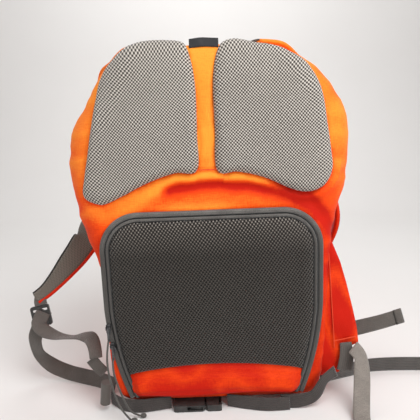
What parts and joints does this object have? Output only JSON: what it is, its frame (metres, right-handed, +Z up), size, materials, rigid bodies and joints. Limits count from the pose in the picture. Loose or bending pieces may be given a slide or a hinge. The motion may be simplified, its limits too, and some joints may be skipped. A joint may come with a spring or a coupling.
{
  "type": "hiking backpack",
  "caption": "Upright hiking backpack with mesh back pads, a zipped lower door on the wearer's side, shoulder straps over the top and a buckled hip belt.",
  "frame": {"origin": "middle of the base, on the plane that the pack stands on", "axes": "+X across the pack, +Y from the wearer's side to the far side, +Z up"},
  "size_m": [0.7094, 0.3062, 0.5603],
  "materials": {
    "orange_nylon": "ripstop nylon, slight sheen, puckered at the seams",
    "orange_lining": "plain woven lining",
    "pad_mesh": "grey open spacer mesh",
    "door_mesh": "darker grey open spacer mesh",
    "strap_mesh": "fine grey mesh",
    "foam": "closed-cell foam",
    "zip_grey": "coil zip tape and corded piping",
    "webbing_grey": "woven nylon webbing",
    "label_black": "woven label, blank",
    "buckle_plastic": "moulded acetal",
    "zip_metal": "painted die-cast zinc",
    "cord_grey": "braided cord",
    "frame_plastic": "polyethylene sheet",
    "stay_aluminium": "mill finish"
  },
  "bodies": {
    "bag": {"base_panel": "orange_nylon", "back_panel": "orange_nylon", "door_jamb_left": "orange_nylon", "door_jamb_right": "orange_nylon", "side_panel_left": "orange_nylon", "side_panel_right": "orange_nylon", "front_panel": "orange_nylon", "compartment_divider": "orange_lining", "frame_sheet": "frame_plastic", "frame_stay_left": "stay_aluminium", "frame_stay_right": "stay_aluminium", "upper_pad_foam_left": "foam", "upper_pad_foam_right": "foam", "upper_pad_mesh_left": "pad_mesh", "upper_pad_mesh_right": "pad_mesh", "top_label": "label_black", "door_zip_tape": "zip_grey", "strap_anchor_left": "webbing_grey", "strap_anchor_right": "webbing_grey", "adjuster_webbing_left": "webbing_grey", "adjuster_tail_left": "webbing_grey", "adjuster_webbing_right": "webbing_grey", "adjuster_tail_right": "webbing_grey", "wing_webbing_right": "webbing_grey", "corner_webbing_left": "webbing_grey", "belt_fold_right": "webbing_grey", "belt_tail_right": "webbing_grey", "belt_loop_right": "webbing_grey", "belt_webbing_left": "webbing_grey", "webbing_roll_left": "webbing_grey", "hip_wing_right": "orange_nylon", "hip_wing_left": "orange_nylon", "buckle_female": "buckle_plastic"},
    "lid": {"lid_panel": "orange_nylon"},
    "door": {"door_liner": "orange_lining", "door_edge_piping": "zip_grey", "door_foam_pad": "foam", "door_mesh_cover": "door_mesh", "door_bottom_strip": "orange_nylon"},
    "zip_slider_upper": {"zip_slider_upper": "zip_metal"},
    "zip_slider_lower": {"zip_slider_lower": "zip_metal"},
    "zip_puller_upper": {"zip_puller_upper": "zip_metal", "zip_cord_upper": "cord_grey", "zip_cord_knot_upper": "cord_grey"},
    "zip_puller_lower": {"zip_puller_lower": "zip_metal", "zip_cord_lower": "cord_grey", "zip_cord_knot_lower": "cord_grey"},
    "shoulder_strap_left": {"shoulder_strap_left": "orange_nylon", "strap_mesh_face_left": "strap_mesh"},
    "shoulder_strap_right": {"shoulder_strap_right": "orange_nylon", "strap_mesh_face_right": "strap_mesh"},
    "ladder_lock_left": {"ladder_lock_left": "buckle_plastic"},
    "ladder_lock_right": {"ladder_lock_right": "buckle_plastic"},
    "belt_male_half": {"buckle_male": "buckle_plastic", "belt_webbing_right": "webbing_grey"},
    "buckle_prong_near": {"buckle_prong_near": "buckle_plastic"},
    "buckle_prong_far": {"buckle_prong_far": "buckle_plastic"},
    "haul_loop": {"haul_loop": "webbing_grey"}
  },
  "joints": [
    {"name": "lid_hinge", "type": "hinge", "parent": "bag", "child": "lid", "pos_m": [0, -0.028, 0.546], "axis": [1, 0, 0], "range_deg": [0, 90]},
    {"name": "door_hinge", "type": "hinge", "parent": "bag", "child": "door", "pos_m": [0, -0.112, 0.025], "axis": [1, 0, 0], "range_deg": [0, 85]},
    {"name": "upper_slider_travel", "type": "slide", "parent": "bag", "child": "zip_slider_upper", "axis": [0, 0, 1], "range_m": [0, 0.12]},
    {"name": "lower_slider_travel", "type": "slide", "parent": "bag", "child": "zip_slider_lower", "axis": [0.2334, 0, -0.9724], "range_m": [0, 0.058]},
    {"name": "upper_puller_swing", "type": "hinge", "parent": "zip_slider_upper", "child": "zip_puller_upper", "pos_m": [-0.1595, -0.1154, 0.144], "axis": [-1, 0, 0], "range_deg": [0, 90]},
    {"name": "lower_puller_swing", "type": "hinge", "parent": "zip_slider_lower", "child": "zip_puller_lower", "pos_m": [-0.1545, -0.1154, 0.114], "axis": [-1, 0, 0], "range_deg": [0, 90]},
    {"name": "left_strap_swing", "type": "hinge", "parent": "bag", "child": "shoulder_strap_left", "pos_m": [-0.072, -0.052, 0.549], "axis": [0, 1, 0], "range_deg": [0, 10]},
    {"name": "right_strap_swing", "type": "hinge", "parent": "bag", "child": "shoulder_strap_right", "pos_m": [0.072, -0.052, 0.549], "axis": [0, -1, 0], "range_deg": [0, 10]},
    {"name": "left_lock_tilt", "type": "hinge", "parent": "shoulder_strap_left", "child": "ladder_lock_left", "pos_m": [-0.2907, -0.0198, 0.1446], "axis": [0.9798, 0, 0.2], "range_deg": [0, 25]},
    {"name": "right_lock_tilt", "type": "hinge", "parent": "shoulder_strap_right", "child": "ladder_lock_right", "pos_m": [0.187, 0.048, 0.1492], "axis": [0, -1, 0], "range_deg": [0, 25]},
    {"name": "buckle_release", "type": "slide", "parent": "bag", "child": "belt_male_half", "axis": [1, 0, 0], "range_m": [0, 0.018]},
    {"name": "near_prong_flex", "type": "hinge", "parent": "belt_male_half", "child": "buckle_prong_near", "pos_m": [-0.0176, -0.109, 0.0056], "axis": [0, 0, -1], "range_deg": [0, 8]},
    {"name": "far_prong_flex", "type": "hinge", "parent": "belt_male_half", "child": "buckle_prong_far", "pos_m": [-0.0176, -0.095, 0.0056], "axis": [0, 0, 1], "range_deg": [0, 8]},
    {"name": "haul_loop_swing", "type": "hinge", "parent": "bag", "child": "haul_loop", "pos_m": [0, -0.073, 0.547], "axis": [1, 0, 0], "range_deg": [0, 90]}
  ],
  "couplings": [
    {"joint": "near_prong_flex", "follows": "buckle_release", "rad_per_m": 7.75},
    {"joint": "far_prong_flex", "follows": "buckle_release", "rad_per_m": 7.75}
  ]
}
